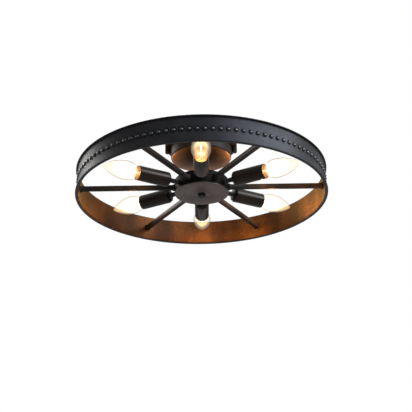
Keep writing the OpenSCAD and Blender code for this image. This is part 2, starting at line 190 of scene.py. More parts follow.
neck_r = 6.35 * mm
neck_in_r = neck_r - 2 * glass_t
flare_end = cap_end - 4 * mm
pinch_end = cap_end + 0.25 * glass_l
coil_foot = cap_end + 0.48 * glass_l
coil_wire_r = 0.28 * mm
coil_r = 0.8 * mm
coil_turns = 22
coil_points = 8
coil_rise = 5 * mm
coil_half = 4.8 * mm
leg_r = 0.3 * mm
leg_half_gap = 1.2 * mm
leg_root = pinch_end - 3 * mm

# The glass stem's outline: radius, and distance up from its flare or down from its pinched end
stem_flare = ((0, 0), (4.7 * mm, 0), (4.4 * mm, 1 * mm), (2.6 * mm, 5 * mm), (2.2 * mm, 12 * mm))
stem_pinch = ((2.2 * mm, 2 * mm), (1.4 * mm, 0.4 * mm), (0, 0))

# Steps round the turned pieces
ring_steps = 288
canopy_steps = 160
hub_steps = 128
sleeve_steps = 64
cup_steps = 64
bulb_steps = 56
finial_steps = 48
holder_steps = 48
cap_steps = 40
nut_steps = 40
nipple_steps = 32
stem_steps = 24
stud_steps = 12


# Drawing and turning

def clear_selection():
    bpy.ops.object.select_all(action="DESELECT")


def select_only(piece):
    clear_selection()
    piece.select_set(True)
    bpy.context.view_layer.objects.active = piece


def arc(r, z, radius, start, end, n=6):
    """Points of an arc about (r, z) in n steps, with its angles in degrees."""
    turns = [math.radians(start + (end - start) * k / n) for k in range(n + 1)]
    return [(r + radius * math.cos(a), z + radius * math.sin(a)) for a in turns]


def draw(name, points):
    """A run of edges through the points (r, z), drawn in the XZ plane and left in edit mode."""
    clear_selection()
    bpy.ops.mesh.primitive_circle_add(vertices=3, radius=mm)
    piece = bpy.context.object
    piece.name = name
    bpy.ops.object.mode_set(mode="EDIT")
    bpy.ops.mesh.merge(type="CENTER")
    r, z = points[0]
    bpy.ops.transform.translate(value=(r, 0, z))
    for next_r, next_z in points[1:]:
        move = {"value": (next_r - r, 0, next_z - z)}
        bpy.ops.mesh.extrude_region_move(TRANSFORM_OT_translate=move)
        r, z = next_r, next_z
    return piece


def turned(name, points, steps):
    """The outline spun about the Z axis, as on a lathe."""
    piece = draw(name, points)
    bpy.ops.mesh.select_all(action="SELECT")
    bpy.ops.mesh.spin(steps=steps, angle=math.tau, center=(0, 0, 0), axis=(0, 0, 1))
    close(piece)
    return piece


def close(piece):
    """Merges what meets, turns the faces outwards and leaves edit mode."""
    bpy.ops.mesh.select_all(action="SELECT")
    bpy.ops.mesh.remove_doubles(threshold=mm / 1000)
    bpy.ops.mesh.normals_make_consistent(inside=False)
    bpy.ops.object.mode_set(mode="OBJECT")
    piece.data.update()


def smooth(piece, angle=35):
    """Shades the piece smooth, apart from edges sharper than the angle in degrees."""
    select_only(piece)
    bpy.ops.object.shade_smooth_by_angle(angle=math.radians(angle))


def set_in_place(piece, location, rotation=(0, 0, 0)):
    """Moves and turns the piece, then puts its place, turn and scale in its mesh."""
    select_only(piece)
    piece.location = location
    piece.rotation_euler = rotation
    bpy.ops.object.transform_apply(location=True, rotation=True, scale=True)


def joined(name, pieces):
    """Several pieces made one, which keeps each one's material."""
    clear_selection()
    for piece in pieces:
        piece.select_set(True)
    bpy.context.view_layer.objects.active = pieces[0]
    bpy.ops.object.join()
    pieces[0].name = name
    return pieces[0]


def paint(piece, *materials):
    piece.data.materials.clear()
    for material in materials:
        piece.data.materials.append(material)
    return piece


def finish_piece(piece, body, slot, *nodes):
    """Rides on its body and stands for its CAD nodes, which it hides. Its slot is not used."""
    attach(piece, body)
    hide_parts(*nodes)


def twin(piece, name, angle):
    """A copy with its own mesh, turned about the wheel's axis."""
    other = piece.copy()
    other.data = piece.data.copy()
    other.name = name
    bpy.context.scene.collection.objects.link(other)
    other.data.transform(Matrix.Rotation(angle, 4, "Z"))
    return other


def light_angle(i):
    return (i - 0.5) * light_step


def for_each_light(piece, name, slot, node, body=None):
    """Lays a piece that was turned about Z along light 1, copies it to the other lights and
    finishes each one."""
    set_in_place(piece, (0, 0, wheel_z), (0, math.pi / 2, light_angle(1)))
    copies = [twin(piece, f"{name}_{i}", (i - 1) * light_step) for i in range(2, light_n + 1)]
    piece.name = f"{name}_1"
    for i, each in enumerate([piece, *copies], 1):
        finish_piece(each, f"{body}_{i}" if body else "root", slot, f"{node}_{i}")


# Shader maths

# Sockets of the Mix node when it mixes colours
mix_factor = 0
mix_first = 6
mix_second = 7
mix_result = 2


class Signal:
    """A socket that can be used in sums. An expression on it adds its Math nodes."""

    def __init__(self, finish, socket):
        self.finish = finish
        self.socket = socket

    def math(self, operation, *others):
        return self.finish.node("ShaderNodeMath", {"operation": operation}, [self, *others])

    def __add__(self, other):
        return self.math("ADD", other)

    def __sub__(self, other):
        return self.math("SUBTRACT", other)

    def __mul__(self, other):
        return self.math("MULTIPLY", other)

    def __truediv__(self, other):
        return self.math("DIVIDE", other)

    def __pow__(self, other):
        return self.math("POWER", other)

    def step(self, low, high, start=0.0, end=1.0):
        """Eases from start to end as the signal goes from low to high."""
        ease = {"interpolation_type": "SMOOTHSTEP"}
        return self.finish.node("ShaderNodeMapRange", ease, [self, low, high, start, end])


class Finish:
    """A material with one Principled shader. Keyword values are set on the shader's own sockets."""

    def __init__(self, name, **constants):
        self.material = bpy.data.materials.new(name)
        self.material.use_nodes = True
        self.tree = self.material.node_tree
        self.shader = self.tree.nodes["Principled BSDF"]
        for key, value in constants.items():
            socket = self.shader.inputs[key.replace("_", " ").title().replace("Ior", "IOR")]
            socket.default_value = (*value, 1) if isinstance(value, tuple) and len(value) == 3 else value
        self.place = self.node("ShaderNodeTexCoord", {}, [], "Object")

    def node(self, kind, settings, values, out=0):
        """Adds a node: its settings, then the values or signals of its sockets, in order or by name."""
        made = self.tree.nodes.new(kind)
        for key, value in settings.items():
            setattr(made, key, value)
        pairs = values.items() if isinstance(values, dict) else enumerate(values)
        for key, value in pairs:
            if isinstance(value, Signal):
                self.tree.links.new(value.socket, made.inputs[key])
            else:
                made.inputs[key].default_value = value
        return Signal(self, made.outputs[out])

    def feed(self, socket, signal):
        self.tree.links.new(signal.socket, self.shader.inputs[socket])

    def stretched(self, x, y, z):
        """The place with each axis scaled."""
        return self.node("ShaderNodeVectorMath", {"operation": "MULTIPLY"}, [self.place, (x, y, z)])

    def noise(self, scale, detail, rough=0.55, vector=None):
        sockets = {"Vector": vector or self.place, "Scale": scale, "Detail": detail, "Roughness": rough}
        return self.node("ShaderNodeTexNoise", {}, sockets, "Fac")

    def ramp(self, signal, *stops):
        """Turns a signal into colours. Each stop is a position and its colour."""
        made = self.node("ShaderNodeValToRGB", {}, [signal], "Color")
        elements = made.socket.node.color_ramp.elements
        while len(elements) < len(stops):
            elements.new(1)
        for element, (position, colour) in zip(elements, stops):
            element.position = position
            element.color = (*colour, 1)
        return made

    def blend(self, factor, first, second):
        """Mixes two colours. Each is a signal or a colour."""
        first, second = (c if isinstance(c, Signal) else (*c, 1) for c in (first, second))
        sockets = {mix_factor: factor, mix_first: first, mix_second: second}
        return self.node("ShaderNodeMix", {"data_type": "RGBA"}, sockets, mix_result)

    def bump(self, height, strength, distance):
        sockets = {"Strength": strength, "Distance": distance, "Height": height}
        self.feed("Normal", self.node("ShaderNodeBump", {}, sockets, "Normal"))

    def axis(self, name):
        return self.node("ShaderNodeSeparateXYZ", {}, [self.place], name)

    def reach(self):
        """Distance from the wheel's axis."""
        x, y = self.axis("X"), self.axis("Y")
        return (x * x + y * y) ** 0.5

    def slant(self):
        """0 where the surface faces the viewer, 1 at its outline. Used for gloss and glass alone."""
        return self.node("ShaderNodeLayerWeight", {}, {"Blend": 0.5}, "Facing")


def srgb(*screen):
    """The linear colour that a shader takes, from a colour as it looks on a screen, 0 to 255."""
    shares = [v / 255 for v in screen]
    return tuple(((s + 0.055) / 1.055) ** 2.4 if s > 0.04045 else s / 12.92 for s in shares)


# Finishes

def satin_gloss(finish, rough):
    """Cloudy gloss, duller at a slant, over a little orange peel."""
    dull = finish.slant().step(0.6, 1.0, 0, 0.3)
    finish.feed("Roughness", finish.noise(90, 3) * 0.16 + dull + (rough - 0.08))
    finish.bump(finish.noise(1400, 2), 0.5, 0.05 * mm)


def black_paint(name, dark, light, rough, gloss, tint=(1, 1, 1)):
    """Satin black or brown-black paint over steel, which drifts from one tone to a lighter one."""
    finish = Finish(name, specular_ior_level=gloss, specular_tint=tint)
    finish.feed("Base Color", finish.ramp(finish.noise(28, 5), (0.3, dark), (0.72, light)))
    satin_gloss(finish, rough)
    return finish.material


black_steel = black_paint("black_steel", srgb(18, 17, 16), srgb(30, 28, 27), 0.42, 0.16)
# Its warm reflection tint is painted warm light on the cups.
cup_paint = black_paint("cup_paint", srgb(11, 8, 6), srgb(21, 15, 11), 0.32, 0.1, (1, 0.93, 0.86))
canopy_paint = black_paint("canopy_paint", srgb(14, 12, 10), srgb(26, 22, 18), 0.5, 0.06)
# Its orange reflection tint is painted warm light: it turns the underside's reflections to the bulbs'
# colour.
canopy_gloss = black_paint(
    "canopy_gloss_paint", srgb(9, 4, 2), srgb(18, 9, 4), 0.48, 1.0, (1, 0.4, 0.09),
)
hub_paint = black_paint("hub_plate_paint", srgb(52, 42, 38), srgb(62, 51, 46), 0.5, 0.2)
drum_paint = black_paint("hub_side_paint", srgb(5, 4, 3), srgb(11, 9, 8), 0.5, 0.02)
finial_paint = black_paint("finial_paint", srgb(5, 5, 5), srgb(12, 11, 11), 0.28, 0.3)


def spoke_paint():
    """Black paint worn to brown over long stretches, with painted warm light making it browner on the
    right.
    """
    finish = Finish("spoke_paint", specular_ior_level=0.05)
    # Random wear, plus painted warm light that browns the spokes towards the right (+X).
    wear_and_painted_warm_light = finish.noise(16, 4, 0.6) + finish.axis("X").step(0.06, 0.12, 0, 0.2)
    stops = (
        (0.35, srgb(9, 7, 6)), (0.55, srgb(18, 13, 9)), (0.72, srgb(42, 26, 15)),
        (0.84, srgb(66, 42, 24)),
    )
    finish.feed("Base Color", finish.ramp(wear_and_painted_warm_light, *stops))
    finish.feed("Roughness", finish.noise(90, 3) * 0.2 + 0.36)
    finish.bump(finish.noise(900, 3), 0.5, 0.06 * mm)
    return finish.material


def from_stud(finish):
    """Distance over the band from the middle of the nearest stud."""
    turn = finish.axis("Y").math("ARCTAN2", finish.axis("X"))
    pitch = math.tau / stud_n
    along = ((turn / pitch).math("FRACT") - 0.5) * (pitch * band_r)
    up = finish.axis("Z") - wheel_z
    return (along * along + up * up) ** 0.5


def stud_paint():
    """A stud's black dome, mottled, with painted shade darkest round its edge and a painted highlight on
    its crown.
    """
    finish = Finish("stud_paint", specular_ior_level=0.22)
    # Painted light and shade: the dome is lit on its crown and shaded round its edge.
    painted_crown_light = from_stud(finish).step(0.75 * stud_r, 0.3 * stud_r)
    mottle_and_highlight = finish.noise(60, 3) * 0.4 + painted_crown_light * 0.6
    finish.feed("Base Color", finish.ramp(mottle_and_highlight, (0.3, srgb(3, 3, 3)), (0.8, srgb(34, 34, 36))))
    finish.feed("Roughness", finish.noise(90, 3) * 0.1 + 0.2)
    finish.bump(finish.noise(1400, 2), 0.5, 0.03 * mm)
    return finish.material


def band_paint():
    """The band's satin black, with painted shade as a dark ring round each stud."""
    finish = Finish("band_paint", specular_ior_level=0.08, specular_tint=(0.84, 0.88, 1))
    # Painted shade: the band darkens in a ring round each stud.
    painted_stud_shade = from_stud(finish).step(stud_r + 2.6 * mm, stud_r + 1.2 * mm)
    clean = finish.ramp(finish.noise(28, 5), (0.3, srgb(17, 17, 17)), (0.72, srgb(28, 28, 29)))
    finish.feed("Base Color", finish.blend(painted_stud_shade * 0.95, clean, srgb(3, 3, 3)))
    satin_gloss(finish, 0.42)
    return finish.material


def copper_liner():
    """Antique copper in broad patches with upright streaks, with painted shade darkening it towards both
    sides of the wheel and painted light lifting its middle a little.
    """
    finish = Finish("copper_liner", metallic=0.7, specular_ior_level=0.1, specular_tint=(1, 0.75, 0.45))
    streak = finish.noise(1, 4, 0.6, finish.stretched(330, 330, 60))
    patch = finish.noise(1, 2, 0.5, finish.stretched(13, 13, 6))
    speck = finish.noise(260, 4, 0.65)
    x = finish.axis("X")
    # Painted shade and light: darker towards both sides of the wheel, a little lighter in its middle.
    middle = x.math("ABSOLUTE").step(0.06, 0.01, 0, 0.04)
    painted_side_shade = x.step(0.15, 0.2, -0.05, -0.1) + x.step(-0.14, -0.18, 0, -0.08)
    tone = patch * 0.7 + streak * 0.08 + speck * 0.22 + middle + painted_side_shade
    stops = (
        (0.3, srgb(24, 15, 10)), (0.42, srgb(42, 25, 14)), (0.52, srgb(72, 42, 18)),
        (0.62, srgb(106, 65, 28)), (0.74, srgb(140, 94, 42)),
    )
    finish.feed("Base Color", finish.ramp(tone, *stops))
    finish.feed("Roughness", streak * 0.2 + 0.42)
    finish.bump(streak * 0.6 + speck * 0.4, 0.6, 0.12 * mm)
    return finish.material


def bulb_glass():
    """Clear glass with a thin grey edge. The lit filament fills its middle with a warm white glow,
    which turns to amber near the cap and the tip. Places along it are shares of its length."""
    finish = Finish(
        "bulb_glass", base_color=(0.006, 0.005, 0.004), roughness=0.05, ior=1.3,
        specular_ior_level=0.0, emission_strength=6,
    )
    slant = finish.slant()
    along = (finish.reach() - cap_end) / glass_l
    past_mouth = along.step(0.12, 0.34)
    core = slant.step(0.57, 0.36, 0, 0.5) * along.step(0.75, 0.4, 0.3, 1) * past_mouth
    film = slant.step(0.4, 0.75, 0.12, 0.42) * (past_mouth * 0.8 + 0.2)
    finish.feed("Alpha", film + core)
    stops = (
        (0.0, (0.5, 0.41, 0.26)), (0.4, (0.48, 0.35, 0.18)), (0.55, (0.17, 0.135, 0.1)),
        (0.64, (0.09, 0.075, 0.058)), (0.76, (0.04, 0.036, 0.031)),
    )
    glow = finish.ramp(slant, *stops)
    near_cap = along.step(0.34, 0.05, 0, 0.6)
    near_tip = along.step(0.5, 0.85, 0, 0.75) * slant.step(0.6, 0.4)
    warm = finish.blend(near_cap, glow, (0.26, 0.12, 0.035))
    finish.feed("Emission Color", finish.blend(near_tip, warm, (0.32, 0.18, 0.075)))
    return finish.material


def plain(name, colour, rough, other=None, **constants):
    """A finish with one colour that drifts a little, and a fine grain."""
    finish = Finish(name, **constants)
    other = other or tuple(v * 0.7 for v in colour)
    finish.feed("Base Color", finish.ramp(finish.noise(60, 4), (0.3, other), (0.7, colour)))
    finish.feed("Roughness", finish.noise(120, 3) * 0.2 + (rough - 0.1))
    finish.bump(finish.noise(1500, 2), 0.4, 0.04 * mm)
    return finish.material


def floor_paint():
    """A pale floor, shown a little darker under the wheel so that the lamps don't burn it out."""
    pale_from = 3.5
    dark_within = 1.0
    dark = (0.6, 0.6, 0.6)
    finish = Finish("floor_paint", roughness=0.7)
    pale = finish.ramp(finish.noise(60, 4), (0.3, (0.84, 0.84, 0.84)), (0.7, (0.86, 0.86, 0.86)))
    seen = finish.node("ShaderNodeLightPath", {}, [], "Is Camera Ray")
    under_wheel = finish.reach().step(pale_from, dark_within)
    finish.feed("Base Color", finish.blend(seen * under_wheel, pale, dark))
    return finish.material


def lit_wire():
    """A filament at full glow."""
    finish = Finish("lit_filament", base_color=(1, 0.8, 0.5), roughness=0.5, emission_strength=6)
    glow = finish.ramp(finish.noise(900, 2), (0.3, (1, 0.62, 0.2)), (0.7, (1, 0.78, 0.38)))
    finish.feed("Emission Color", glow)
    return finish.material


def warm_near_mouth(name, colour, glow, strength):
    """A socket part that the bulb lights: brightest at the lampholder's face, fading both ways."""
    finish = Finish(name, roughness=0.5, emission_strength=strength)
    dark = tuple(v * 0.8 for v in colour)
    finish.feed("Base Color", finish.ramp(finish.noise(80, 3), (0.3, dark), (0.7, colour)))
    unlit_to = holder_end - 14 * mm
    along = finish.reach()
    lit = along.step(unlit_to, holder_end) * along.step(holder_end, cup_end, 1, 0.3)
    finish.feed("Emission Color", finish.blend(lit, (0, 0, 0), glow))
    return finish.material


band_black = band_paint()
stud_black = stud_paint()
worn_paint = spoke_paint()
copper = copper_liner()
glass = bulb_glass()
glass_inside = plain("glass_inside", (0.01, 0.009, 0.008), 0.12, alpha=0.02, specular_ior_level=0.0)
filament_glow = lit_wire()
# The stem's soft orange emission is a painted glow from the lit filament beside it.
stem_glass = plain(
    "stem_glass", (0.8, 0.7, 0.56), 0.15, ior=1.5, emission_strength=0.5, emission_color=(1, 0.5, 0.14),
)
brass = plain("machined_brass", srgb(205, 166, 92), 0.32, metallic=1.0)
bulb_brass = plain("pressed_brass", srgb(214, 176, 104), 0.36, metallic=1.0)
zinc = plain("zinc_steel", srgb(132, 130, 124), 0.7, metallic=0.5)
holder_cream = warm_near_mouth("lampholder_ceramic", srgb(136, 90, 40), (1.0, 0.42, 0.08), 0.06)
mouth_black = warm_near_mouth("cup_inner_paint", srgb(56, 40, 26), (1.0, 0.42, 0.1), 0.5)
black_wire = plain("black_insulation", srgb(30, 30, 31), 0.45)
white_wire = plain("white_insulation", srgb(226, 223, 212), 0.45, srgb(208, 204, 192))
green_wire = plain("green_insulation", srgb(60, 142, 76), 0.45)
green_screw = plain("green_lacquer", srgb(48, 118, 62), 0.35, metallic=0.4)
orange_cap = plain("orange_plastic", srgb(222, 112, 42), 0.35, srgb(206, 96, 34))


# Wheel

def rolled_band():
    """The band's section: a sheet with a lip rolled outwards along each edge."""
    inner = band_r - band_t
    nose = lip_h / 2
    corner = band_corner
    upper = [(inner, 0), (inner, band_half - corner)]
    upper += arc(inner + corner, band_half - corner, corner, 180, 90, 3)
    upper += arc(wheel_r - nose, band_half - nose, nose, 90, -90, 10)
    upper += arc(band_r + corner, band_half - lip_h - corner, corner, 90, 180, 3)
    lower = [(r, -z) for r, z in reversed(upper)]
    return upper + lower[:-1] + [upper[0]]


rim_band = turned("rim_band_rolled", rolled_band(), ring_steps)
set_in_place(rim_band, (0, 0, wheel_z))
smooth(paint(rim_band, band_black))
finish_piece(rim_band, "root", "black_steel", "rim_band")

liner_section = arc(liner_r + liner_edge, liner_half - liner_edge, liner_edge, 180, 90, 3)
liner_section += [(liner_r + liner_t, liner_half), (liner_r + liner_t, -liner_half)]
liner_section += arc(liner_r + liner_edge, liner_edge - liner_half, liner_edge, 270, 180, 3)
rim_liner = turned("rim_liner_strip", liner_section + liner_section[:1], ring_steps)
set_in_place(rim_liner, (0, 0, wheel_z))
smooth(paint(rim_liner, copper))
finish_piece(rim_liner, "root", "copper_liner", "rim_liner")

stud_ball_r = (stud_r ** 2 + stud_h ** 2) / (2 * stud_h)
stud_edge = math.degrees(math.asin(stud_r / stud_ball_r))
dome = arc(0, stud_h - stud_ball_r, stud_ball_r, 90, 90 - stud_edge, 4)
dome += [(stud_r, -stud_sink), (0, -stud_sink)]
rim_studs = turned("rim_studs_row", dome, stud_steps)
set_in_place(rim_studs, (band_r, 0, wheel_z), (0, math.pi / 2, 0))
set_in_place(rim_studs, (0, 0, 0), (0, 0, math.pi / stud_n))
bpy.ops.object.mode_set(mode="EDIT")
bpy.ops.mesh.select_all(action="SELECT")
last_turn = math.tau * (stud_n - 1) / stud_n
bpy.ops.mesh.spin(steps=stud_n - 1, dupli=True, angle=last_turn, center=(0, 0, 0), axis=(0, 0, 1))
bpy.ops.object.mode_set(mode="OBJECT")
smooth(paint(rim_studs, stud_black), 50)
finish_piece(rim_studs, "root", "black_steel", "rim_studs")


def spoke_bar():
    """A bar from the hub to the lining, swollen by its weld at each end."""
    clear_selection()
    bpy.ops.mesh.primitive_cube_add(size=1, location=(0, 0, 0))
    bar = bpy.context.object
    bar.scale = (spoke_end - spoke_start, spoke_w, spoke_t)
    set_in_place(bar, ((spoke_start + spoke_end) / 2, 0, 0))
    bpy.ops.object.mode_set(mode="EDIT")
    bpy.ops.mesh.select_all(action="SELECT")
    bpy.ops.mesh.bevel(offset=spoke_edge, segments=3, affect="EDGES")
    for x in [spoke_start + cut for cut in weld_cuts] + [spoke_end - cut for cut in weld_cuts]:
        bpy.ops.mesh.select_all(action="SELECT")
        bpy.ops.mesh.bisect(plane_co=(x, 0, 0), plane_no=(1, 0, 0))
    bpy.ops.object.mode_set(mode="OBJECT")
    for vertex in bar.data.vertices:
        depth = min(vertex.co.x - spoke_start, spoke_end - vertex.co.x)
        grow = max(0.0, 1 - depth / weld_l) ** weld_curve * weld_swell
        wave = vertex.co.y * lump_y + vertex.co.z * lump_z + depth / mm
        lump = 1 + lump_share * math.sin(wave)
        across = Vector((0, vertex.co.y, vertex.co.z))
        if across.length > mm:
            vertex.co += across.normalized() * grow * lump
    return bar


spoke = spoke_bar()
set_in_place(spoke, (0, 0, wheel_z))
smooth(paint(spoke, worn_paint), 30)
spoke.name = "spoke_bar_1"
finish_piece(spoke, "root", "brown_black_steel", "spoke_1")
for i in range(2, light_n + 1):
    bar = twin(spoke, f"spoke_bar_{i}", (i - 1) * light_step)
    finish_piece(bar, "root", "brown_black_steel", f"spoke_{i}")


# Hub and stem

drum = [(0, hub_high.z), (hub_flat_r, hub_high.z)]
drum += arc(hub_r - hub_round, hub_high.z - hub_round, hub_round, 90, 0)
drum += [(hub_r, hub_foot), (hub_r - hub_t, hub_foot), (hub_r - hub_t, hub_wall_top)]
drum += [(0, hub_high.z - hub_t)]
hub_drum = turned("hub_drum_pressed", drum, hub_steps)
smooth(paint(hub_drum, drum_paint))
finish_piece(hub_drum, "root", "black_steel", "hub_drum")

plate = [(0, cover_low.z), (groove_r, cover_low.z)]
plate += [(groove_r + groove_w / 2, cover_low.z + groove_deep), (groove_r + groove_w, cover_low.z)]
plate += arc(cover_r - cover_round, cover_low.z + cover_round, cover_round, -90, 0)
plate += [(cover_r, cover_top), (0, cover_top)]
hub_cover = turned("hub_cover_plate", plate, hub_steps)
smooth(paint(hub_cover, hub_paint))
finish_piece(hub_cover, "root", "brown_black_steel", "hub_cover")


def ball_knob():
    """The finial's outline: a ball, cut off by a short collar that spreads to the cover."""
    collar_z = cover_low.z - collar_h
    ball = arc(0, finial_low.z + finial_r, finial_r, -90, 30, 14)[1:]
    below_collar = [(0, finial_low.z)] + [(r, z) for r, z in ball if z <= collar_z]
    slope = [(collar_r - collar_slope_w, collar_z), (collar_r, cover_low.z - collar_rim_h)]
    return below_collar + slope + [(collar_r, cover_low.z), (0, cover_low.z)]


finial = turned("finial_ball", ball_knob(), finial_steps)
smooth(paint(finial, finial_paint))
finish_piece(finial, "finial", "black_steel", "finial")

sleeve = [(sleeve_r - sleeve_t, sleeve_low.z), (sleeve_r - sleeve_edge, sleeve_low.z)]
sleeve += [(sleeve_r, sleeve_low.z + sleeve_edge), (sleeve_r, sleeve_high.z - sleeve_edge)]
sleeve += [(sleeve_r - sleeve_edge, sleeve_high.z), (sleeve_r - sleeve_t, sleeve_high.z)]
stem_sleeve = turned("stem_sleeve_tube", sleeve + sleeve[:1], sleeve_steps)
smooth(paint(stem_sleeve, black_steel))
finish_piece(stem_sleeve, "root", "black_steel", "stem_sleeve")


# Canopy

def canopy_shell(t):
    """The canopy's outside for t = 0 and its inside for t = canopy_t, from the ceiling to the pipe."""
    shell = [(pan_r - t, 0)]
    shell += arc(pan_r - pan_round, pan_round - pan_h, pan_round - t, 0, -90)
    shell += arc(drum_r + step_round, -step_round - pan_h, step_round + t, 90, 180)
    shell += arc(drum_r - bowl_round, bowl_round - canopy_h, bowl_round - t, 0, bowl_end_degrees, 8)
    low = canopy_low.z + t
    bulge = -canopy_h - canopy_low.z
    floor_run = drum_r - bowl_round - flat_r
    for k in range(floor_steps - 1, 0, -1):
        share = k / floor_steps
        shell.append((flat_r + floor_run * share, low + bulge * share ** 2))
    return shell + [(flat_r, low), (pipe_hole_r, low)]


outline = canopy_shell(0) + canopy_shell(canopy_t)[::-1] + [(pan_r, 0)]
canopy = turned("canopy_pressed", outline, canopy_steps)
paint(canopy, canopy_paint, canopy_gloss)
for face in canopy.data.polygons:
    if face.center.z < canopy_gloss_z and face.normal.z < 0:
        face.material_index = 1
smooth(canopy)
finish_piece(canopy, "root", "black_steel", "canopy")

nut = [(0, -nut_h)] + arc(nut_r - nut_round, nut_round - nut_h, nut_round, -90, 0)
for k in range(nut_ridge_n):
    ridge_z = nut_ridge_start + nut_ridge_step * k
    nut += [(nut_r, ridge_z), (nut_r - nut_groove, ridge_z + nut_ridge_step / 2)]
nut += [(nut_r, -nut_plain_h), (nut_r, 0), (0, 0)]
canopy_nut = turned("canopy_nuts_turned", nut, nut_steps)
set_in_place(canopy_nut, (nut_x, 0, -pan_h))
other_nut = twin(canopy_nut, "canopy_nut_far", math.pi)
canopy_nut = joined("canopy_nuts_turned", [canopy_nut, other_nut])
smooth(paint(canopy_nut, canopy_paint))
finish_piece(canopy_nut, "root", "black_steel", "canopy_nuts")


# Lights

def rounded_cup():
    """A cup's section, from its hole for the nipple round its rear and mouth and back inside."""
    round_r = cup_r - cup_round
    round_z = cup_start + cup_round
    cup_in_r = cup_r - cup_t
    outside = [(nipple_r, cup_start)] + arc(round_r, round_z, cup_round, -90, 0, 8)
    mouth = arc(cup_r - cup_lip, cup_end - cup_lip, cup_lip, 0, 90, 3)
    mouth += arc(cup_in_r + cup_lip, cup_end - cup_lip, cup_lip, 90, 180, 3)
    mouth += [(cup_in_r, cup_ring)]
    inside = arc(round_r, round_z, cup_round - cup_t, 0, -90, 8) + [(nipple_r, cup_seat)]
    return outside + mouth + inside + outside[:1]


cup = turned("socket_cup", rounded_cup(), cup_steps)
paint(cup, cup_paint, mouth_black)
for face in cup.data.polygons:
    r = math.hypot(face.center.x, face.center.y)
    if r < inner_paint_r and inner_paint_start < face.center.z < inner_paint_end:
        face.material_index = 1
smooth(cup)
for_each_light(cup, "cup", "black_steel", "socket_cup")

socket = [(nipple_r, holder_rear), (holder_rear_r, holder_rear), (holder_r, holder_shoulder)]
socket += arc(holder_r - holder_edge, holder_end - holder_edge, holder_edge, 0, 90, 3)
socket += [(shell_r + shell_edge, holder_end), (shell_r, holder_end - shell_edge)]
socket += [(shell_r, holder_floor), (0, holder_floor)]
holder = turned("lampholder", socket, holder_steps)
smooth(paint(holder, holder_cream))
for_each_light(holder, "holder", "lampholder_ceramic", "lampholder")

thread_step = (nipple_out - nipple_in) / thread_n
neck = [(nipple_bore_r, nipple_in)]
for k in range(thread_n):
    z = nipple_in + thread_step * k
    neck += [(nipple_r, z), (nipple_r - thread_deep, z + thread_step / 2)]
neck += [(nipple_r, nipple_out), (nipple_bore_r, nipple_out), (nipple_bore_r, nipple_in)]
nipple = turned("nipple", neck, nipple_steps)
washer = [(washer_in_r, cup_start - washer_t)]
washer += arc(washer_r, cup_start - washer_t / 2, washer_t / 2, -90, 90)
washer += [(washer_in_r, cup_start)]
nipple_washer = turned("nipple_collar", washer + washer[:1], nipple_steps)
nipple = joined("nipple", [nipple, nipple_washer])
smooth(paint(nipple, black_steel))
set_in_place(nipple, (0, 0, wheel_z), (0, math.pi / 2, light_angle(1)))
others = [twin(nipple, f"nipple_{i}", (i - 1) * light_step) for i in range(2, light_n + 1)]
nipples = joined("socket_nipples_threaded", [nipple, *others])
finish_piece(nipples, "root", "black_steel", "socket_nipples")


def candle(r_neck, r_max, length):
    """A candle-shaped outline from the cap to the tip: a sine swell, then a longer taper."""
    outline = []
    for k in range(bulge_steps + 1):
        swell = math.sin(math.pi / 2 * k / bulge_steps)
        outline.append((r_neck + (r_max - r_neck) * swell, cap_end + bulge_l * k / bulge_steps))
    widest = cap_end + bulge_l
    for k in range(1, taper_steps):
        share = math.sin(math.pi / 2 * k / taper_steps)
        r = r_max * math.cos(math.pi / 2 * share) ** taper_curve
        outline.append((r, widest + (length - bulge_l) * share))
    return outline + [(0, cap_end + length)]


outer = candle(neck_r, bulb_r, glass_l)
inner = candle(neck_in_r, bulb_r - glass_t, glass_l - 2 * glass_t)
foot = [(neck_in_r, cap_end - glass_in_cap), (neck_in_r + glass_t, cap_end - glass_in_cap)]
foot += [(neck_in_r + glass_t, cap_end)]
bulb = turned("bulb_glass", foot + outer + inner[::-1] + foot[:1], bulb_steps)
paint(bulb, glass, glass_inside)
for face in bulb.data.polygons:
    if face.normal.x * face.center.x + face.normal.y * face.center.y < 0:
        face.material_index = 1
smooth(bulb, 60)
for_each_light(bulb, "candle_glass", "clear_glass", "bulb_glass", "bulb")

cap_ridge_step = cap_l / (cap_ridge_n + 1)
cap = [(0, contact_tip), (contact_tip_r, contact_tip), (contact_r, contact_edge)]
cap += [(contact_r, contact_end), (cap_shoulder_r, cap_start)]
for k in range(cap_ridge_points * cap_ridge_n + 1):
    ridge = k / cap_ridge_points
    groove = cap_ridge_deep * (1 + math.cos(math.tau * ridge)) / 2
    cap.append((cap_r - groove, cap_start + cap_ridge_step * (0.5 + ridge)))
cap += [(cap_r, cap_end), (cap_r - cap_t, cap_end), (cap_floor_r, cap_floor), (0, cap_floor)]
bulb_cap = turned("bulb_cap", cap, cap_steps)
smooth(paint(bulb_cap, bulb_brass))
for_each_light(bulb_cap, "screw_cap", "bulb_brass", "bulb_cap", "bulb")


def wire_through(name, points, radius, material):
    """A round wire through the points."""
    curve = bpy.data.curves.new(name, "CURVE")
    curve.dimensions = "3D"
    curve.bevel_depth = radius
    curve.bevel_resolution = 1
    curve.use_fill_caps = True
    run = curve.splines.new("POLY")
    run.points.add(len(points) - 1)
    for point, place in zip(run.points, points):
        point.co = (*place, 1)
    piece = bpy.data.objects.new(name, curve)
    bpy.context.scene.collection.objects.link(piece)
    select_only(piece)
    bpy.ops.object.convert(target="MESH")
    return paint(bpy.context.object, material)


def glass_stem():
    """The glass stem that carries the wires, from its wide flare in the cap to its pinched end."""
    stem = [(r, flare_end + up) for r, up in stem_flare]
    stem += [(r, pinch_end - down) for r, down in stem_pinch]
    return paint(turned("stem", stem, stem_steps), stem_glass)


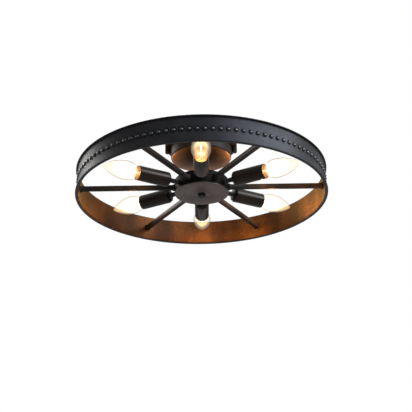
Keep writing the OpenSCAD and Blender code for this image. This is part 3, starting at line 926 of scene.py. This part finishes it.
def coiled_filament():
    """A fine coil that arches from the end of one support wire to the end of the other."""
    coil = []
    last = coil_turns * coil_points
    for k in range(last + 1):
        share = k / last
        swing = math.tau * coil_turns * share
        x = coil_half * (2 * share - 1)
        z = coil_foot + coil_rise * math.sin(math.pi * share)
        coil.append((x, coil_r * math.cos(swing), z + coil_r * math.sin(swing)))
    return wire_through("coil", coil, coil_wire_r, filament_glow)


def bulb_inside():
    """The glass stem on its flare, two lead wires and the coiled filament that they hold."""
    pieces = [glass_stem(), coiled_filament()]
    for side in (-1, 1):
        ends = [(side * leg_half_gap, 0, leg_root), (side * coil_half, 0, coil_foot)]
        pieces.append(wire_through("leg", ends, leg_r, zinc))
    return joined("bulb_inside", pieces)


inside = bulb_inside()
smooth(inside, 60)
for_each_light(inside, "filament", "lit_filament", "bulb_filament", "bulb")


# Nodes that keep their CAD shape: what the canopy, the hub and the lampholders hold

for node, material in (
    ("bracket_bar", zinc), ("canopy_studs", zinc), ("pipe_washers", zinc), ("ground_screw", green_screw),
    ("threaded_pipe", brass), ("pipe_nuts", brass), ("nipple_nuts", brass), ("lamp_contacts", brass),
    ("lamp_shells", brass), ("black_leads", black_wire), ("white_leads", white_wire),
    ("ground_lead", green_wire), ("wire_caps", orange_cap),
):
    paint(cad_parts[node], material)


# Studio

world_light = 0.6
backdrop_light = 1
floor_z = -2
floor_size = 14
glow_r = 6 * mm
glow_colour = (1, 0.58, 0.25)
glow_watts = 0.6
# The canopy's underside reflects these two lights to the camera
brighter_glows = {1: 2.2, 3: 1.3}


def white_world():
    """Plain white to the camera, in reflections and through glass, and a softer light on surfaces."""
    world = bpy.data.worlds.new("studio")
    bpy.context.scene.world = world
    world.use_nodes = True
    tree = world.node_tree
    tree.nodes.clear()
    rays = tree.nodes.new("ShaderNodeLightPath")
    seen = rays.outputs["Is Camera Ray"]
    for kind in ("Is Glossy Ray", "Is Transmission Ray"):
        also = tree.nodes.new("ShaderNodeMath")
        also.operation = "ADD"
        also.use_clamp = True
        tree.links.new(seen, also.inputs[0])
        tree.links.new(rays.outputs[kind], also.inputs[1])
        seen = also.outputs[0]
    either = tree.nodes.new("ShaderNodeMixShader")
    tree.links.new(seen, either.inputs[0])
    for socket, strength in ((1, world_light), (2, backdrop_light)):
        shader = tree.nodes.new("ShaderNodeBackground")
        shader.inputs["Color"].default_value = (1, 1, 1, 1)
        shader.inputs["Strength"].default_value = strength
        tree.links.new(shader.outputs[0], either.inputs[socket])
    output = tree.nodes.new("ShaderNodeOutputWorld")
    tree.links.new(either.outputs[0], output.inputs["Surface"])


def add_lamp(name, kind, location, watts, colour):
    lamp = bpy.data.objects.new(name, bpy.data.lights.new(name, kind))
    lamp.data.energy = watts
    lamp.data.color = colour
    lamp.location = location
    bpy.context.scene.collection.objects.link(lamp)
    return lamp


def soft_lamp(name, location, size, watts, colour):
    """A soft lamp that faces the wheel, of the given width and height."""
    lamp = add_lamp(name, "AREA", location, watts, colour)
    lamp.data.shape = "RECTANGLE"
    lamp.data.size, lamp.data.size_y = size
    to_wheel = Vector((0, 0, wheel_z)) - lamp.location
    lamp.rotation_euler = to_wheel.to_track_quat("-Z", "Y").to_euler()


def bulb_glow(i):
    """A small lamp in the middle of a bulb."""
    reach = cap_end + 0.5 * glass_l
    middle = (reach * math.cos(light_angle(i)), reach * math.sin(light_angle(i)), wheel_z)
    lamp = add_lamp(f"bulb_glow_{i}", "POINT", middle, brighter_glows.get(i, glow_watts), glow_colour)
    lamp.data.shadow_soft_size = glow_r


white_world()
soft_lamp(
    "right_softbox", location=(1.55, -1.05, 0.8), size=(2.2, 0.9), watts=140, colour=(0.88, 0.9, 1.0),
)
soft_lamp(
    "left_softbox", location=(-1.55, 1.1, 0.8), size=(1.3, 0.8), watts=24, colour=(1.0, 0.98, 0.95),
)
for i in range(1, light_n + 1):
    bulb_glow(i)

clear_selection()
bpy.ops.mesh.primitive_plane_add(size=floor_size, location=(0, 0, floor_z))
floor = bpy.context.object
floor.name = "floor"
paint(floor, floor_paint())


# Camera, from the ellipses of the rim in the photograph

view_rise = math.radians(23.927)
view_distance = 1.57195
aim_turn = math.radians(0.276)
aim_tilt = math.radians(-0.446)
aim_roll = math.radians(-0.8)
focal_px = 863.93
image_px = 412
sensor_mm = 36
target = Vector((0, 0, band_low.z))
place = target - view_distance * Vector((0, math.cos(view_rise), math.sin(view_rise)))
look = (target - place).to_track_quat("-Z", "Y").to_matrix()
aim = Matrix.Rotation(-aim_turn, 3, "Y") @ Matrix.Rotation(aim_tilt, 3, "X")
aim = aim @ Matrix.Rotation(aim_roll, 3, "Z")
camera = bpy.data.objects.new("camera", bpy.data.cameras.new("camera"))
bpy.context.scene.collection.objects.link(camera)
camera.matrix_world = Matrix.Translation(place) @ (look @ aim).to_4x4()
camera.data.sensor_width = sensor_mm
camera.data.lens = focal_px / image_px * sensor_mm
bpy.context.scene.camera = camera
bpy.context.scene.view_settings.view_transform = "Standard"
